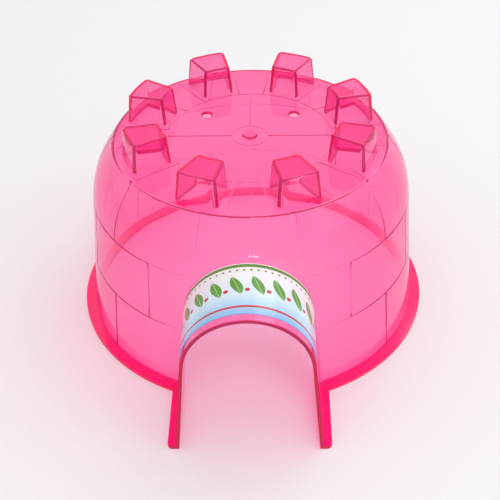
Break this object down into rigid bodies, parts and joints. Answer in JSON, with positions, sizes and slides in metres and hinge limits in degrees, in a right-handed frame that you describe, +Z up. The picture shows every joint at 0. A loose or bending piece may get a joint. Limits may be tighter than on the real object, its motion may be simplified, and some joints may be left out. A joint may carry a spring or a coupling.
{
  "type": "rodent igloo",
  "caption": "Dome-shaped hide for a rodent: one thin translucent moulding with an arched entrance tunnel, battlements on the roof and an open underside.",
  "frame": {"origin": "centre of the part's box at the level of the flange's underside, where the hide rests; the dome's own axis stands 17.25 mm behind it, at Y = +0.01725", "axes": "+X to the right as seen from in front, +Y from the entrance to the back, +Z up"},
  "size_m": [0.216, 0.2504, 0.1318],
  "materials": {
    "shell_plastic": "gloss, translucent hot pink",
    "label_film": "printed film, semi-gloss"
  },
  "bodies": {
    "root": {"igloo_shell": "shell_plastic", "entrance_label": "label_film"}
  },
  "joints": []
}
